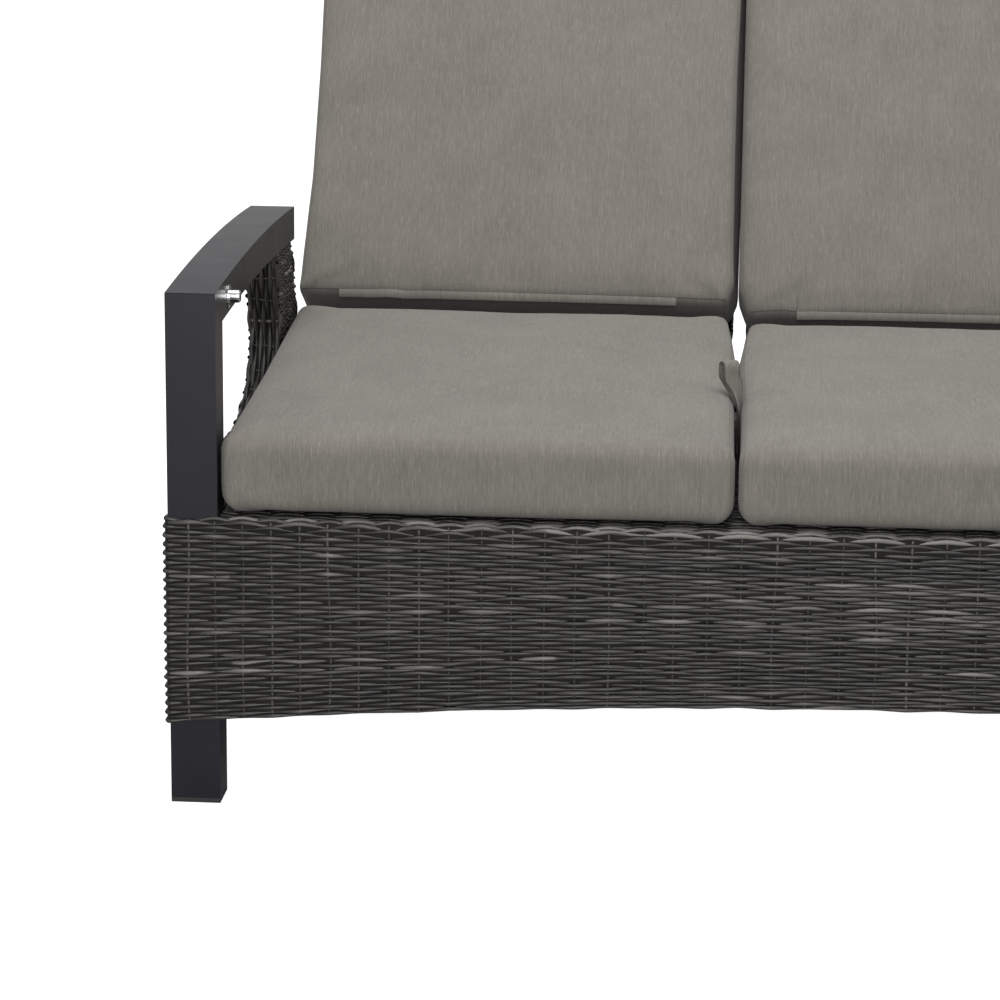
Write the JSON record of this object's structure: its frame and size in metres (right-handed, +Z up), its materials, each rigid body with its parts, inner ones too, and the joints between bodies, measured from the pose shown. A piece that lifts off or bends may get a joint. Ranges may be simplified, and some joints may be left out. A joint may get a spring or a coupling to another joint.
{
  "type": "rattan garden sofa",
  "caption": "Woven garden sofa with three separately reclining backs, box cushions, straight metal legs and gently arched metal arm rails.",
  "frame": {"origin": "floor level under the middle of the sofa's whole box, backs in the pictured recline", "axes": "+X across the sofa to the sitter's left, which is the picture's right, +Y from front to back, +Z up"},
  "size_m": [1.975, 1.124, 1.0028],
  "materials": {
    "powder_coated_frame": "satin",
    "wicker": "satin",
    "cushion_fabric": "matte",
    "bright_steel": "satin",
    "button_chrome": "polished",
    "black_cylinder": "satin",
    "cable_black": "matte",
    "foot_plastic": "matte"
  },
  "bodies": {
    "frame": {"left_front_leg": "powder_coated_frame", "left_rear_leg": "powder_coated_frame", "left_arm_rail": "powder_coated_frame", "left_arm_stay": "powder_coated_frame", "left_side_rail": "powder_coated_frame", "left_cross_rail": "powder_coated_frame", "left_arm_weave": "wicker", "left_side_weave": "wicker", "left_front_foot_cap": "foot_plastic", "left_rear_foot_cap": "foot_plastic", "left_button_collar": "button_chrome", "right_front_leg": "powder_coated_frame", "right_rear_leg": "powder_coated_frame", "right_arm_rail": "powder_coated_frame", "right_arm_stay": "powder_coated_frame", "right_side_rail": "powder_coated_frame", "right_cross_rail": "powder_coated_frame", "right_arm_weave": "wicker", "right_side_weave": "wicker", "right_front_foot_cap": "foot_plastic", "right_rear_foot_cap": "foot_plastic", "right_button_collar": "button_chrome", "front_rail": "powder_coated_frame", "deck_rear_rail": "powder_coated_frame", "spring_beam": "powder_coated_frame", "rear_rail": "powder_coated_frame", "front_lower_rail": "powder_coated_frame", "rear_lower_rail": "powder_coated_frame", "front_weave": "wicker", "rear_weave": "wicker", "seat_deck_weave": "wicker", "left_seat_cushion": "cushion_fabric", "left_hinge_axle": "bright_steel", "left_spring_rod": "bright_steel", "left_release_cable": "cable_black", "middle_seat_cushion": "cushion_fabric", "middle_hinge_axle": "bright_steel", "middle_spring_rod": "bright_steel", "middle_release_cable": "cable_black", "right_seat_cushion": "cushion_fabric", "right_hinge_axle": "bright_steel", "right_spring_rod": "bright_steel", "right_release_cable": "cable_black"},
    "left_back": {"left_back_frame": "powder_coated_frame", "left_back_weave": "wicker", "left_back_cushion": "cushion_fabric"},
    "middle_back": {"middle_back_frame": "powder_coated_frame", "middle_back_weave": "wicker", "middle_back_cushion": "cushion_fabric"},
    "right_back": {"right_back_frame": "powder_coated_frame", "right_back_weave": "wicker", "right_back_cushion": "cushion_fabric"},
    "left_gas_spring": {"left_spring_cylinder": "black_cylinder"},
    "middle_gas_spring": {"middle_spring_cylinder": "black_cylinder"},
    "right_gas_spring": {"right_spring_cylinder": "black_cylinder"},
    "left_push_button": {"left_button": "button_chrome"},
    "right_push_button": {"right_button": "button_chrome"},
    "loop": {"release_loop": "cushion_fabric"}
  },
  "joints": [
    {"name": "left_recline", "type": "hinge", "parent": "frame", "child": "left_back", "pos_m": [-0.615, 0.19297, 0.4], "axis": [1, 0, 0], "range_deg": [-15, 16]},
    {"name": "left_spring_stroke", "type": "slide", "parent": "frame", "child": "left_gas_spring", "axis": [0, 1, 0], "range_m": [-0.0252, 0.0269]},
    {"name": "middle_recline", "type": "hinge", "parent": "frame", "child": "middle_back", "pos_m": [0, 0.19297, 0.4], "axis": [1, 0, 0], "range_deg": [-15, 16]},
    {"name": "middle_spring_stroke", "type": "slide", "parent": "frame", "child": "middle_gas_spring", "axis": [0, 1, 0], "range_m": [-0.0252, 0.0269]},
    {"name": "right_recline", "type": "hinge", "parent": "frame", "child": "right_back", "pos_m": [0.615, 0.19297, 0.4], "axis": [1, 0, 0], "range_deg": [-15, 16]},
    {"name": "right_spring_stroke", "type": "slide", "parent": "frame", "child": "right_gas_spring", "axis": [0, 1, 0], "range_m": [-0.0252, 0.0269]},
    {"name": "left_button_press", "type": "slide", "parent": "frame", "child": "left_push_button", "axis": [-1, 0, 0], "range_m": [0, 0.005], "stiffness_N_per_m": 400, "springref_m": -0.004},
    {"name": "right_button_press", "type": "slide", "parent": "frame", "child": "right_push_button", "axis": [1, 0, 0], "range_m": [0, 0.005], "stiffness_N_per_m": 400, "springref_m": -0.004},
    {"name": "loop_pull", "type": "slide", "parent": "frame", "child": "loop", "axis": [0, 0, 1], "range_m": [0, 0.015], "stiffness_N_per_m": 200, "springref_m": -0.005}
  ],
  "couplings": [
    {"joint": "left_spring_stroke", "follows": "left_recline", "m_per_rad": 0.095},
    {"joint": "middle_spring_stroke", "follows": "middle_recline", "m_per_rad": 0.095},
    {"joint": "right_spring_stroke", "follows": "right_recline", "m_per_rad": 0.095}
  ]
}
